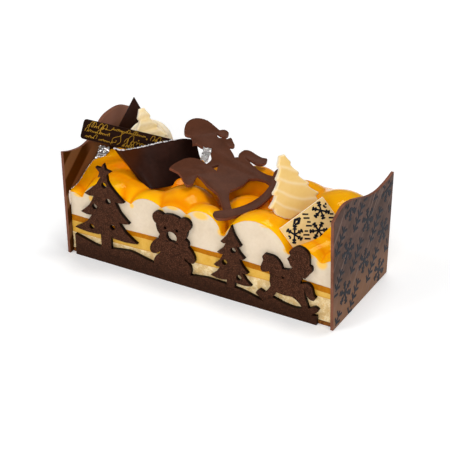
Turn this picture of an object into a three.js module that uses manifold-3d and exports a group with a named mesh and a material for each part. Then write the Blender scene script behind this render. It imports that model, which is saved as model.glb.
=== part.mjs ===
// Yule log cake: flat-cut layers under piped, glazed mousse domes, chocolate end panels,
// a chocolate winter frieze along the front and loose chocolate decorations on top.
// Millimetres, +Z up, X along the log, -Y to the front, origin at the middle of the bottom.
import * as THREE from 'three';
import { mergeVertices } from 'three/addons/utils/BufferGeometryUtils.js';
import Module from 'manifold-3d';

const wasm = await Module();
wasm.setup();

// Driving dimensions
const length = 260;
const panelWidth = 106.6;
const panelThick = 2.8;
const leanHeight = 97;
const cakeLeft = -126.7;
const cakeRight = 125.2;
const cakeHalfWidth = 48.6;
const gap = 0.3;
const glazeThick = 2;
const friezeThick = 3.3;
const biscuitTop = 4;

// Upper lines of the soft layers: heights at stations along the log, between which they run as waves
const layerStations = [cakeLeft, -62, 0, 58, cakeRight];
const spongeTop = [20, 21, 23.7, 26, 25.7];
const yellowTop = [31.2, 32.6, 34.6, 33.5, 30.4];
const amberTop = [37.3, 37.1, 39.2, 38.8, 36];

// Piped domes of the mousse: x, y, radius, height of the crown
const domes = [
  [-124, -44, 12, 58.5], [-90, -38, 27, 74.5], [-47, -40, 21.3, 72.1], [-21, -42, 18.2, 71.2],
  [5.5, -42, 19.2, 73.5], [56, -38, 31.4, 78.3], [101.5, -41, 16, 63.3], [127, -40, 14, 62.3],
  [-112, 12, 83, 76.5], [-91, -24, 28, 75.5], [-96, -8, 34, 77],
  [-70, -32, 20, 71.5], [-21.5, -27, 29.5, 77.2], [28, -10, 28, 72.4],
  [76, -8, 24, 77], [112, -8, 24, 76], [109, -28, 16.5, 65.7], [-85, 28, 26, 77.5], [-50, 2, 24, 70.5],
  [-33, 26, 24, 70], [16, 26, 24, 82], [60, 27, 26, 78.5], [97, 25, 33, 79], [-112, 40, 20, 68],
  [-62, 42, 19, 70], [-20, 43, 18, 69], [34, 43, 20, 71], [76, 42, 19, 69], [113, 43, 18, 67],
];
const domeFoot = 60;
const valleyFloor = 55;
const creaseSharpness = 0.9;

// Height of the mousse at a point of the top: the domes blended with narrow creases
function mousseHeight(x, y) {
  let sum = Math.exp(creaseSharpness * (valleyFloor - domeFoot));
  for (const [cx, cy, radius, crown] of domes) {
    const away = Math.hypot(x - cx, y - cy);
    const rise = away < radius ? Math.sqrt(radius * radius - away * away) : 2 * (radius - away);
    sum += Math.exp(creaseSharpness * (crown - radius + rise - domeFoot));
  }
  return domeFoot + Math.log(sum) / creaseSharpness;
}

const glazeUnder = (x, y) => mousseHeight(x, y) + gap;
const glazeSurface = (x, y) => mousseHeight(x, y) + gap + glazeThick;

// Closed slab over the cake's footprint between a height field and a field or flat level below
function slab(top, bottom, columns = 50, rows = 19) {
  const position = [];
  const index = [];
  const flat = typeof bottom === 'number';
  const xAt = (i) => cakeLeft + (cakeRight - cakeLeft) * i / columns;
  const yAt = (j) => -cakeHalfWidth + 2 * cakeHalfWidth * j / rows;
  const at = (i, j) => j * (columns + 1) + i;
  for (let j = 0; j <= rows; j += 1) {
    for (let i = 0; i <= columns; i += 1) {
      position.push(xAt(i), yAt(j), top(xAt(i), yAt(j)));
    }
  }
  const topCount = position.length / 3;
  const rim = [];
  for (let i = 0; i < columns; i += 1) rim.push([i, 0]);
  for (let j = 0; j < rows; j += 1) rim.push([columns, j]);
  for (let i = columns; i > 0; i -= 1) rim.push([i, rows]);
  for (let j = rows; j > 0; j -= 1) rim.push([0, j]);
  const under = new Map();
  if (flat) {
    rim.forEach(([i, j], k) => {
      under.set(at(i, j), topCount + k);
      position.push(xAt(i), yAt(j), bottom);
    });
    const corners = rim.map(([i, j]) => new THREE.Vector2(xAt(i), yAt(j)));
    for (const [a, b, c] of THREE.ShapeUtils.triangulateShape(corners, [])) {
      index.push(topCount + a, topCount + c, topCount + b);
    }
  } else {
    for (let j = 0; j <= rows; j += 1) {
      for (let i = 0; i <= columns; i += 1) {
        under.set(at(i, j), topCount + at(i, j));
        position.push(xAt(i), yAt(j), bottom(xAt(i), yAt(j)));
      }
    }
  }
  for (let j = 0; j < rows; j += 1) {
    for (let i = 0; i < columns; i += 1) {
      const [a, b, c, d] = [at(i, j), at(i + 1, j), at(i + 1, j + 1), at(i, j + 1)];
      const cell = (i + j) % 2 ? [a, b, c, a, c, d] : [a, b, d, b, c, d];
      index.push(...cell);
      if (!flat) {
        for (let k = 0; k < 6; k += 3) {
          index.push(under.get(cell[k]), under.get(cell[k + 2]), under.get(cell[k + 1]));
        }
      }
    }
  }
  rim.forEach(([i, j], k) => {
    const [ni, nj] = rim[(k + 1) % rim.length];
    const [a, b] = [at(i, j), at(ni, nj)];
    index.push(a, under.get(a), b, b, under.get(a), under.get(b));
  });
  const geometry = new THREE.BufferGeometry();
  geometry.setAttribute('position', new THREE.Float32BufferAttribute(position, 3));
  geometry.setIndex(index);
  return geometry;
}

// Booleans
function solidOf(geometry) {
  const bare = geometry.clone();
  bare.deleteAttribute('normal');
  bare.deleteAttribute('uv');
  const merged = mergeVertices(bare, 1e-4);
  return new wasm.Manifold(new wasm.Mesh({
    numProp: 3,
    vertProperties: new Float32Array(merged.attributes.position.array),
    triVerts: new Uint32Array(merged.index.array),
  }));
}

function geometryOf(solid) {
  const mesh = solid.getMesh();
  const geometry = new THREE.BufferGeometry();
  geometry.setAttribute('position', new THREE.BufferAttribute(new Float32Array(mesh.vertProperties), 3));
  geometry.setIndex(new THREE.BufferAttribute(new Uint32Array(mesh.triVerts), 1));
  geometry.computeVertexNormals();
  return geometry;
}

const joined = (geometries) => geometries.map(solidOf).reduce((whole, next) => whole.add(next));
const cakeTop = solidOf(slab((x, y) => glazeSurface(x, y) + gap, 1));
const standingOnCake = (solid) => geometryOf(solid.subtract(cakeTop));

// Outlines: each run of points is a smooth curve, and runs meet in sharp corners
function outline(runs) {
  const points = [];
  for (const run of runs) {
    const corners = run.map(([x, y]) => new THREE.Vector2(x, y));
    const curve = corners.length > 2
      ? new THREE.SplineCurve(corners).getPoints(2 * (corners.length - 1)) : corners;
    points.push(...curve.slice(0, -1));
  }
  if (THREE.ShapeUtils.isClockWise(points)) points.reverse();
  return new THREE.Shape(points);
}

function ellipse(x, y, across, up, turn = 0) {
  const shape = new THREE.Shape();
  shape.absellipse(x, y, across, up, 0, 2 * Math.PI, false, turn);
  return new THREE.Shape(shape.getPoints(8).slice(0, -1));
}

function plate(shape, thick, holes = []) {
  shape.holes = holes;
  return new THREE.ExtrudeGeometry(shape, { depth: thick, bevelEnabled: false });
}

// Frame of a plate: its own x and y axes and the point where its origin lies
function placed(geometry, across, origin, facing) {
  const normal = new THREE.Vector3(...facing).normalize();
  const wanted = new THREE.Vector3(...across);
  const right = wanted.clone().addScaledVector(normal, -normal.dot(wanted)).normalize();
  const up = new THREE.Vector3().crossVectors(normal, right);
  const frame = new THREE.Matrix4().makeBasis(right, up, normal).setPosition(...origin);
  return geometry.clone().applyMatrix4(frame);
}

// Layers of the cake: cut across, each shows as a band between two lines along the log
function layer(low, high, halfWidth = cakeHalfWidth) {
  const line = (heights, raise) => layerStations.map((x, i) => [x, heights[i] + raise]);
  const [under, over] = [line(low, gap), line(high, 0)];
  const band = outline([under, [under.at(-1), over.at(-1)], over.toReversed(), [over[0], under[0]]]);
  return plate(band, 2 * halfWidth).rotateX(Math.PI / 2).translate(0, halfWidth, 0);
}

function biscuitBase() {
  const geometry = new THREE.BoxGeometry(cakeRight - cakeLeft, 2 * cakeHalfWidth, biscuitTop);
  return geometry.translate((cakeLeft + cakeRight) / 2, 0, biscuitTop / 2);
}

// The mousse rests on the wavy jelly
function mousse() {
  const lowest = Math.min(...amberTop);
  const block = solidOf(slab(mousseHeight, lowest));
  const floor = amberTop.map(() => lowest - 2);
  const ceiling = amberTop.map((height) => height + gap);
  return geometryOf(block.subtract(solidOf(layer(floor, ceiling, cakeHalfWidth + 1))));
}

// End panels: a low corner, a rounded hump, a dip and a raised corner, seen from outside.
// They lean outwards by the two amounts of warp, front and back, at the lean height.
function endPanel(side, crest, warp) {
  const half = panelWidth / 2;
  const shape = outline([
    [[-half, 0], [half, 0]],
    [[half, 0], [half, crest[7]]],
    [[half, crest[7]], [40, crest[6]], [24, crest[5]], [8, crest[4]], [-7, crest[3]],
      [-23, crest[2]], [-38, crest[1]], [-half, crest[0]]],
    [[-half, crest[0]], [-half, 0]],
  ]);
  const geometry = plate(shape, panelThick);
  geometry.rotateX(Math.PI / 2).rotateZ(side * Math.PI / 2);
  geometry.translate(side * (length / 2 - panelThick), 0, 0);
  const position = geometry.attributes.position;
  for (let i = 0; i < position.count; i += 1) {
    const along = position.getY(i) / half;
    const lean = (warp[0] * (1 - along) + warp[1] * (1 + along)) / 2;
    position.setX(i, position.getX(i) + lean * position.getZ(i) / leanHeight);
  }
  return geometryOf(solidOf(geometry));
}

// Frieze: figures in the x-z plane rising from a low hilly strip
function firTree(axis, foot, trunk, apex, skirts) {
  const side = (sign) => {
    const runs = [];
    let [x, y] = [0, apex];
    for (const [reach, tip, notch] of skirts) {
      runs.push([[x, y], [x + (reach - x) * 0.35, y + (tip - y) * 0.52], [reach, tip]]);
      runs.push([[reach, tip], [(reach + notch) / 2, tip - 1.4], [notch, tip - 0.8]]);
      [x, y] = [notch, tip - 0.8];
    }
    runs.push([[x, y], [trunk, y], [trunk, foot]]);
    return runs.map((run) => run.map(([px, py]) => [axis + sign * px, py]));
  };
  const left = side(-1);
  const right = side(1).reverse().map((run) => [...run].reverse());
  return outline([...left, [[axis - trunk, foot], [axis + trunk, foot]], ...right]);
}

function star(x, y, reach, turn) {
  const points = [];
  for (let i = 0; i < 10; i += 1) {
    const angle = turn + Math.PI / 2 + i * Math.PI / 5;
    const far = i % 2 ? reach * 0.46 : reach;
    points.push(new THREE.Vector2(x + far * Math.cos(angle), y + far * Math.sin(angle)));
  }
  return new THREE.Shape(points);
}

function smallRider() {
  const body = outline([
    [[66, 53], [64, 50], [65, 47], [62.5, 40], [64.5, 36], [70.5, 38]],
    [[70.5, 38], [71.5, 34], [71, 29], [72, 24.5], [68, 18.5], [66.3, 16.5]],
    [[66.3, 16.5], [62, 18.5], [58.5, 14.5], [61, 12], [66, 8], [68, 4]],
    [[68, 4], [110, 4]],
    [[110, 4], [109.5, 8.5], [114, 11.5], [116, 15], [112, 16.5], [107, 13.5]],
    [[107, 13.5], [105, 18.5], [103, 24.5], [102.5, 30.5]],
    [[102.5, 30.5], [104.5, 26], [107, 22.7], [111.2, 22], [113.2, 25.3]],
    [[113.2, 25.3], [111.3, 27], [109.8, 32.5], [107.4, 35.6], [104, 36.5], [98.5, 34.5]],
    [[98.5, 34.5], [101, 41]],
    [[101, 41], [103.5, 40.6], [106.6, 45.5]],
    [[106.6, 45.5], [109, 48], [108.6, 52.3], [106.6, 53.3]],
    [[106.6, 53.3], [106.3, 61], [104, 65.5], [99.5, 67.8], [95.5, 68], [92, 65.5], [89.5, 63.2], [88, 60.5]],
    [[88, 60.5], [89.3, 58.3], [86.5, 54.5]],
    [[86.5, 54.5], [88, 52.5], [89.5, 49], [91.5, 47.5]],
    [[91.5, 47.5], [88.5, 44.5], [82.5, 43.5]],
    [[82.5, 43.5], [81.5, 46.5], [78.5, 50.5], [74, 53], [66, 53]],
  ]);
  const underBelly = outline([
    [[74, 14.5], [77.5, 20.3]],
    [[77.5, 20.3], [85, 19.5], [92, 20], [98, 16.5], [101.5, 12]],
    [[101.5, 12], [94.5, 10.6], [85, 11.5], [74, 14.5]],
  ]);
  const underArm = outline([[[81, 37], [83, 34.5]], [[83, 34.5], [85.5, 36]], [[85.5, 36], [81, 37]]]);
  return [body, [underBelly, underArm]];
}

function frieze() {
  const strip = outline([
    [[-121.8, 0], [114.5, 0]],
    [[114.5, 0], [114.5, 8.5]],
    [[114.5, 8.5], [90, 7.3], [66, 8], [50.5, 11.5], [35, 13.5], [11.5, 14.5], [-5.5, 12],
      [-22, 12], [-39.5, 13.5], [-56, 17], [-66, 18.5], [-82.5, 16], [-96, 14.5], [-108, 17], [-121.8, 20.5]],
    [[-121.8, 20.5], [-121.8, 0]],
  ]);
  const tallTree = firTree(-89, 8, 5.2, 89, [[20.2, 64, 10.8], [25, 45, 13.8], [32.4, 27.5, 7]]);
  const tallHoles = [[-88.5, 76], [-85, 61.5], [-99.5, 53], [-103.5, 32.5], [-81.5, 37.5]];
  const smallSkirts = [[9.7, 53.6, 5], [13, 42.8, 7.5], [16.3, 30, 10.5], [19.4, 18.8, 5]];
  const smallTree = firTree(35, 8, 3.8, 70.6, smallSkirts);
  const smallHoles = [[37, 48], [29, 34.5], [42.5, 23.5]];
  const [rider, riderHoles] = smallRider();
  const ball = (x, y, radius) => ellipse(x, y, radius, radius);
  const face = [ball(-28, 51.5, 1.4), ball(-16.5, 51.5, 1.4), ellipse(-22, 44.2, 5.4, 4.8, -0.6)];
  const figures = [
    [strip, []],
    [star(-88.8, 88.4, 8.3, -0.1), []],
    [tallTree, tallHoles.map(([x, y]) => ball(x, y, 2.7))],
    [smallTree, smallHoles.map(([x, y]) => ball(x, y, 2.6))],
    [rider, riderHoles],
    [ellipse(-21.8, 52.2, 15.4, 13.3), face],
    [ball(-34.2, 59.2, 6.3), []],
    [ball(-9, 59.2, 6.2), []],
    [ellipse(-36.6, 32, 9.8, 5.2, 0.9), []],
    [ellipse(-6.8, 32.3, 9.8, 5.2, -0.9), []],
    [ellipse(-21.8, 23, 12.6, 17), []],
    [ellipse(-21.8, 34.5, 13, 4.7), []],
    [ellipse(-31.4, 39.6, 3.8, 5), []],
    [ellipse(-10.6, 41, 5.2, 4.6), []],
    [ellipse(-32.5, 16, 7.8, 8.5), []],
    [ellipse(-10.8, 16.5, 7.6, 8.5), []],
  ];
  const geometry = geometryOf(joined(figures.map(([shape, holes]) => plate(shape, friezeThick, holes))));
  return geometry.rotateX(Math.PI / 2).translate(0, -cakeHalfWidth - gap, 0);
}

// Rocking horse with its rider, one moulded plaque lying across the domes
function rockingHorse() {
  const body = outline([
    [[-24.3, 10.8], [-23.5, 16.5], [-19, 27], [-13, 31.8], [-6, 33], [0, 31.5]],
    [[0, 31.5], [1, 37], [-1, 42], [-6, 47.8]],
    [[-6, 47.8], [-9.5, 49], [-14, 47.4], [-19.5, 48.5], [-22, 46]],
    [[-22, 46], [-24.5, 50.5], [-28, 54]],
    [[-28, 54], [-33, 53], [-37, 58], [-39.5, 66.5], [-37.5, 73.5], [-32.5, 77.5], [-25, 78.6],
      [-16, 75.5], [-10.5, 73.5]],
    [[-10.5, 73.5], [-7, 76.5], [-2.5, 75.3], [-1.2, 71.5], [-4, 68.3], [-10, 69.5]],
    [[-10, 69.5], [-9.5, 67], [-6.5, 65], [0.5, 67.5]],
    [[0.5, 67.5], [2.2, 70.5], [4.5, 69], [8, 65.5], [9.5, 64.3], [9, 61.5], [5, 60.5]],
    [[5, 60.5], [13.5, 54], [16.5, 51]],
    [[16.5, 51], [19, 53]],
    [[19, 53], [17.7, 57], [19.5, 63.5], [24.5, 65.2], [30, 64], [36.5, 63.2], [40.5, 64.5], [42, 62],
      [41.3, 57.5], [36.5, 54.5], [30.5, 55.5], [22.5, 56.5]],
    [[22.5, 56.5], [31, 52.5], [37, 49.5], [42.5, 48], [49.5, 47.5], [54.5, 48.5]],
    [[54.5, 48.5], [53.2, 55], [55, 59.3], [58, 54], [58.7, 48]],
    [[58.7, 48], [61.8, 43.5], [63.8, 33], [62.8, 20], [59.5, 8.5], [54, -1.5], [46.5, -12],
      [39.5, -17.8], [35, -18.8], [32.2, -16], [32.3, -12.8], [38, -7.6]],
    [[38, -7.6], [32.5, -2], [25, 6]],
    [[25, 6], [17, 8.5], [11.5, 10.5], [4.5, 14.5], [-0.5, 16]],
    [[-0.5, 16], [0.3, 10.5], [1.2, 5], [-1.2, 1.5], [-5, 2.8], [-10, 7], [-16, 10.4], [-24.3, 10.8]],
  ]);
  const underBelly = outline([
    [[31.8, 14.8], [35.5, 21], [38, 27.5], [38.7, 34.5]],
    [[38.7, 34.5], [44, 38.8], [52, 40.4], [57.3, 38.6]],
    [[57.3, 38.6], [56.8, 25], [53.5, 13.5], [48.5, 4], [43, -3]],
    [[43, -3], [38.5, 2], [34, 8.5], [31.8, 14.8]],
  ]);
  const underArm = outline([[[5, 30.5], [9, 36.5]], [[9, 36.5], [11, 29]], [[11, 29], [5, 30.5]]]);
  const geometry = plate(body, 3, [underBelly, underArm]).translate(0, 0, -3);
  const solid = solidOf(placed(geometry, [1, 0, 0], [-17, -32, 84], [0.2156, -0.2498, 0.9438]));
  return standingOnCake(solid);
}

// White chocolate fir: skirts that widen downwards, each standing proud of the one above
function whiteFir(foot) {
  const skirts = [
    [50, 39.5, 2.6, 6], [41, 29.5, 4.6, 10.2], [31, 19, 8.6, 16], [20.5, 9, 14, 21.6], [10.5, -4, 18.5, 21],
  ];
  const parts = skirts.map(([high, low, narrow, wide], i) => {
    const slope = (wide - narrow) * 0.42 + narrow;
    const half = wide / 2;
    const shape = outline([
      [[-wide, low + 1.6], [-half, low - 0.4], [0, low - 1], [half, low - 0.4], [wide, low + 1.6]],
      [[wide, low + 1.6], [wide, low + 3.4]],
      [[wide, low + 3.4], [slope, (high + low) / 2 + 1.5], [narrow, high]],
      [[narrow, high], [-narrow, high]],
      [[-narrow, high], [-slope, (high + low) / 2 + 1.5], [-wide, low + 3.4]],
      [[-wide, low + 3.4], [-wide, low + 1.6]],
    ]);
    const bevel = { bevelThickness: 1.6, bevelSize: 1.3, bevelOffset: -1.3, bevelSegments: 1 };
    return new THREE.ExtrudeGeometry(shape, { depth: 3 + i * 0.5, ...bevel }).translate(0, 0, -4.4);
  });
  const solid = solidOf(placed(geometryOf(joined(parts)), [0.63, 0.77, 0.14], foot, [0.68, -0.62, 0.39]));
  return standingOnCake(solid);
}

// Fluted white chocolate bauble, flattened from front to back, behind the left fir
function flutedBauble() {
  const [radius, flutes, depth] = [21.7, 20, 0.27];
  const profile = [];
  for (let i = 0; i <= 9; i += 1) {
    const angle = -Math.PI / 6 + (2 * Math.PI / 3) * i / 9;
    profile.push(new THREE.Vector2(i < 9 ? radius * Math.cos(angle) : 0, radius * Math.sin(angle)));
  }
  profile.unshift(new THREE.Vector2(0, profile[0].y));
  const geometry = new THREE.LatheGeometry(profile, 2 * flutes);
  const position = geometry.attributes.position;
  for (let i = 0; i < position.count; i += 1) {
    const [x, z] = [position.getX(i), position.getZ(i)];
    const flute = 1 - 0.05 * (1 + Math.cos(flutes * Math.atan2(z, x))) / 2;
    position.setXYZ(i, x * flute, position.getY(i), z * flute * depth);
  }
  const solid = solidOf(placed(geometry, [0.63, 0.77, 0.14], [-91.2, 25.2, 82.6], [0.68, -0.62, 0.39]));
  return standingOnCake(solid);
}

// Curled dark chocolate sheet: a band between its foot and its rim, given a thickness
function curledSheet() {
  const thick = 1.6;
  const foot = [[-77.5, -15.5, 70.3], [-68.5, -24, 69], [-59, -28, 70], [-52, -25, 71], [-47, -14, 69],
    [-42, -2, 68.5], [-37, 11, 71], [-34, 21, 76]];
  const rim = [[-96, -23.7, 97], [-88, -23.6, 97], [-79.8, -15, 97.3], [-73, -5.5, 97.6], [-67, 3, 98],
    [-60, 12.3, 98.2], [-53.5, 20.3, 98.3], [-45, 28.5, 96]];
  const rows = 4;
  const count = foot.length;
  const front = [];
  for (let j = 0; j <= rows; j += 1) {
    for (let i = 0; i < count; i += 1) {
      const [a, b] = [new THREE.Vector3(...foot[i]), new THREE.Vector3(...rim[i])];
      front.push(a.lerp(b, j / rows));
    }
  }
  const at = (i, j) => j * count + i;
  const clampTo = (v, high) => Math.min(Math.max(v, 0), high);
  const back = front.map((point, k) => {
    const [i, j] = [k % count, Math.floor(k / count)];
    const [before, after] = [clampTo(i - 1, count - 1), clampTo(i + 1, count - 1)];
    const [lower, upper] = [clampTo(j - 1, rows), clampTo(j + 1, rows)];
    const along = front[at(after, j)].clone().sub(front[at(before, j)]);
    const up = front[at(i, upper)].clone().sub(front[at(i, lower)]);
    return point.clone().addScaledVector(along.cross(up).normalize(), -thick);
  });
  const position = [...front, ...back].flatMap((point) => point.toArray());
  const total = front.length;
  const index = [];
  for (let j = 0; j < rows; j += 1) {
    for (let i = 0; i < count - 1; i += 1) {
      const [a, b, c, d] = [at(i, j), at(i + 1, j), at(i + 1, j + 1), at(i, j + 1)];
      index.push(a, b, c, a, c, d, total + a, total + c, total + b, total + a, total + d, total + c);
    }
  }
  const edge = [];
  for (let i = 0; i < count - 1; i += 1) edge.push(at(i, 0));
  for (let j = 0; j < rows; j += 1) edge.push(at(count - 1, j));
  for (let i = count - 1; i > 0; i -= 1) edge.push(at(i, rows));
  for (let j = rows; j > 0; j -= 1) edge.push(at(0, j));
  edge.forEach((a, k) => {
    const b = edge[(k + 1) % edge.length];
    index.push(a, total + a, b, b, total + a, total + b);
  });
  const geometry = new THREE.BufferGeometry();
  geometry.setAttribute('position', new THREE.Float32BufferAttribute(position, 3));
  geometry.setIndex(index);
  return standingOnCake(solidOf(geometry));
}

// Pointed dark chocolate shard standing behind the left fir
function darkShard() {
  const corners = [[0, 0], [-31, -47], [21, -47]];
  const shape = new THREE.Shape(corners.map(([x, y]) => new THREE.Vector2(x, y)));
  const upright = plate(shape, 1.6).translate(0, 0, -1.6);
  const geometry = placed(upright, [0.671, 0.741, 0.023], [-108.3, 28.6, 122.8], [0.733, -0.668, 0.134]);
  return standingOnCake(solidOf(geometry));
}

// Long dark bar with rounded corners, leaning on the left panel
function printedBar() {
  const [wide, high, round] = [92, 17.5, 3];
  const shape = new THREE.Shape();
  shape.moveTo(round, 0).lineTo(wide - round, 0).quadraticCurveTo(wide, 0, wide, round);
  shape.lineTo(wide, high - round).quadraticCurveTo(wide, high, wide - round, high);
  shape.lineTo(round, high).quadraticCurveTo(0, high, 0, high - round);
  shape.lineTo(0, round).quadraticCurveTo(0, 0, round, 0);
  const upright = new THREE.ExtrudeGeometry(shape, { depth: 2.2, bevelEnabled: false, curveSegments: 4 });
  upright.translate(0, 0, -2.2);
  const geometry = placed(upright, [0.8636, 0.4443, -0.2378], [-129.9, -25.9, 100.1], [0.504, -0.774, 0.383]);
  return standingOnCake(solidOf(geometry));
}

// Cream square standing on a corner in the glaze
function creamSquare() {
  const corners = [[0, 0], [0, -38], [43, -38], [43, 0]];
  const shape = new THREE.Shape(corners.map(([x, y]) => new THREE.Vector2(x, y)));
  const upright = plate(shape, 2.6).translate(0, 0, -2.6);
  const geometry = placed(upright, [0.55, 0.66, 0.51], [75.5, -44.6, 75], [0.54, -0.75, 0.39]);
  return standingOnCake(solidOf(geometry));
}

function named(name, geometry, color, roughness) {
  const mesh = new THREE.Mesh(geometry, new THREE.MeshStandardMaterial({ color, roughness, metalness: 0 }));
  mesh.name = name;
  return mesh;
}

const leftCrest = [100, 107.4, 109.3, 106.8, 96.5, 92.6, 94.6, 98.8];
const rightCrest = [98.3, 105.5, 104.5, 99.5, 94.8, 92.6, 94, 97];

const cake = new THREE.Group();
cake.add(
  named('biscuit_base', biscuitBase(), 0x7a4413, 0.7),
  named('sponge', layer(spongeTop.map(() => biscuitTop), spongeTop), 0xe0c083, 0.9),
  named('yellow_cream', layer(spongeTop, yellowTop), 0xe6b446, 0.6),
  named('amber_jelly', layer(yellowTop, amberTop), 0xb97300, 0.3),
  named('mousse', mousse(), 0xecdcc3, 0.6),
  named('glaze', slab(glazeSurface, glazeUnder), 0xf5a800, 0.15),
  named('panel_left', endPanel(-1, leftCrest, [-0.87, -0.87]), 0x5a3426, 0.4),
  named('panel_right', endPanel(1, rightCrest, [-3, 1]), 0x5a3426, 0.4),
  named('frieze', frieze(), 0x46302a, 0.5),
  named('rocking_horse', rockingHorse(), 0x5c3a2c, 0.5),
  named('printed_bar', printedBar(), 0x2a1714, 0.4),
  named('curled_sheet', curledSheet(), 0x2c1916, 0.35),
  named('dark_shard', darkShard(), 0x2c1916, 0.35),
  named('white_fir_left', whiteFir([-76.9, 14.3, 71.6]), 0xf0dfb6, 0.5),
  named('white_fir_right', whiteFir([77.9, -16.8, 76]), 0xe6c489, 0.5),
  named('white_bauble', flutedBauble(), 0xf0dfb6, 0.5),
  named('cream_square', creamSquare(), 0xe3c388, 0.5),
);

export default cake;
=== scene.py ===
import bisect
import math
import random
import bmesh
import bpy
from mathutils import Matrix, Vector, noise


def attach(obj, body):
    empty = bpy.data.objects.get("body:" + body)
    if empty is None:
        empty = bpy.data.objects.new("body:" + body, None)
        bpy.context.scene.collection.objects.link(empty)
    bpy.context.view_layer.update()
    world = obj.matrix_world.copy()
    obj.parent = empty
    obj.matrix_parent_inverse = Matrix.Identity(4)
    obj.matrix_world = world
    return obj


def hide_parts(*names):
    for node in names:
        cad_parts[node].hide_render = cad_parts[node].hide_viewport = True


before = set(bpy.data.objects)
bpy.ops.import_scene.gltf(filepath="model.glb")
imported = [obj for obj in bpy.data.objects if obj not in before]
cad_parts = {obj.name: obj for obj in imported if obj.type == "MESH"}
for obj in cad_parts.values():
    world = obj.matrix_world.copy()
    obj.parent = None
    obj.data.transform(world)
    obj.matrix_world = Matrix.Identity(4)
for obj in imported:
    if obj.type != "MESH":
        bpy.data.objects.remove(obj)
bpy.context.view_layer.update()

# lengths are in millimetres, with x along the log, y from front to back and z up,
# but those in a look, the studio and the lamps are in metres
mm = 0.001
scene = bpy.context.scene
random.seed(24)


def feed(tree, socket, value):
    if isinstance(value, bpy.types.NodeSocket):
        tree.links.new(value, socket)
    elif isinstance(value, tuple) and socket.type == "RGBA":
        socket.default_value = (*value, 1)
    else:
        socket.default_value = value


def addNode(tree, kind, inputs=None, **settings):
    node = tree.nodes.new(kind)
    for key, value in settings.items():
        setattr(node, key, value)
    for key, value in (inputs or {}).items():
        feed(tree, node.inputs[key], value)
    return node


def calc(tree, operation, first, second=0.0, third=0.0):
    inputs = {0: first, 1: second, 2: third}
    return addNode(tree, "ShaderNodeMath", inputs, operation=operation).outputs[0]


def ramp(tree, value, low, high, toLow=0.0, toHigh=1.0):
    inputs = {0: value, 1: low, 2: high, 3: toLow, 4: toHigh}
    return addNode(tree, "ShaderNodeMapRange", inputs, interpolation_type="SMOOTHSTEP").outputs[0]


def blend(tree, factor, first, second):
    return addNode(tree, "ShaderNodeMix", {0: factor, 6: first, 7: second}, data_type="RGBA").outputs[2]


def noiseOf(tree, inputs):
    return addNode(tree, "ShaderNodeTexNoise", inputs).outputs[0]


def placeOf(tree):
    return addNode(tree, "ShaderNodeTexCoord").outputs["Object"]


def axesOf(tree):
    # the place on the piece in millimetres, as its X, Y and Z
    scaled = addNode(tree, "ShaderNodeVectorMath", {0: placeOf(tree), "Scale": 1 / mm}, operation="SCALE")
    return addNode(tree, "ShaderNodeSeparateXYZ", {0: scaled.outputs[0]}).outputs


def attributeOf(tree, name):
    return addNode(tree, "ShaderNodeAttribute", attribute_name=name).outputs["Fac"]


def makeGroup(name, inputs, output, outputKind):
    group = bpy.data.node_groups.new(name, "ShaderNodeTree")
    for label, value in inputs.items():
        socket = group.interface.new_socket(label, in_out="INPUT", socket_type="NodeSocketFloat")
        socket.default_value = value
    group.interface.new_socket(output, in_out="OUTPUT", socket_type=outputKind)
    given = group.nodes.new("NodeGroupInput").outputs
    return group, given, group.nodes.new("NodeGroupOutput").inputs[0]


blotches = dict(fineness=6.0, fineShare=0.35, steepness=4.0)


def buildMottle():
    # two noises of different size, mixed into one soft blotchy mask
    group, given, mask = makeGroup("Mottle", {"Scale": 60.0, "Contrast": 1.0}, "Mask", "NodeSocketFloat")
    place = placeOf(group)
    coarse = noiseOf(group, {"Vector": place, "Scale": given["Scale"], "Detail": 3.0})
    fineScale = calc(group, "MULTIPLY", given["Scale"], blotches["fineness"])
    fine = noiseOf(group, {"Vector": place, "Scale": fineScale, "Detail": 2.0})
    coarsePart = calc(group, "MULTIPLY", coarse, 1 - blotches["fineShare"])
    mean = calc(group, "MULTIPLY_ADD", fine, blotches["fineShare"], coarsePart)
    steepness = calc(group, "MULTIPLY", given["Contrast"], blotches["steepness"])
    spread = calc(group, "MULTIPLY_ADD", calc(group, "SUBTRACT", mean, 0.5), steepness, 0.5)
    group.links.new(calc(group, "MINIMUM", calc(group, "MAXIMUM", spread, 0.0), 1.0), mask)
    return group


def buildGrain():
    # fine bumps for crumb, chocolate grain and cut mousse
    inputs = {"Scale": 900.0, "Strength": 0.3, "Depth": 0.0003}
    group, given, normal = makeGroup("Grain", inputs, "Normal", "NodeSocketVector")
    height = noiseOf(group, {"Vector": placeOf(group), "Scale": given["Scale"], "Detail": 4.0,
                             "Roughness": 0.62})
    bump = {"Strength": given["Strength"], "Distance": given["Depth"], "Height": height}
    group.links.new(addNode(group, "ShaderNodeBump", bump).outputs[0], normal)
    return group


mottleGroup = buildMottle()
grainGroup = buildGrain()
# light that sinks a little into mousse and white chocolate
softLight = {"Subsurface Weight": 0.1, "Subsurface Scale": 0.002, "Subsurface Radius": (1.0, 0.7, 0.4)}


def recolor(tree, shader, color):
    tree.links.new(color, shader.inputs["Base Color"])


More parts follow.
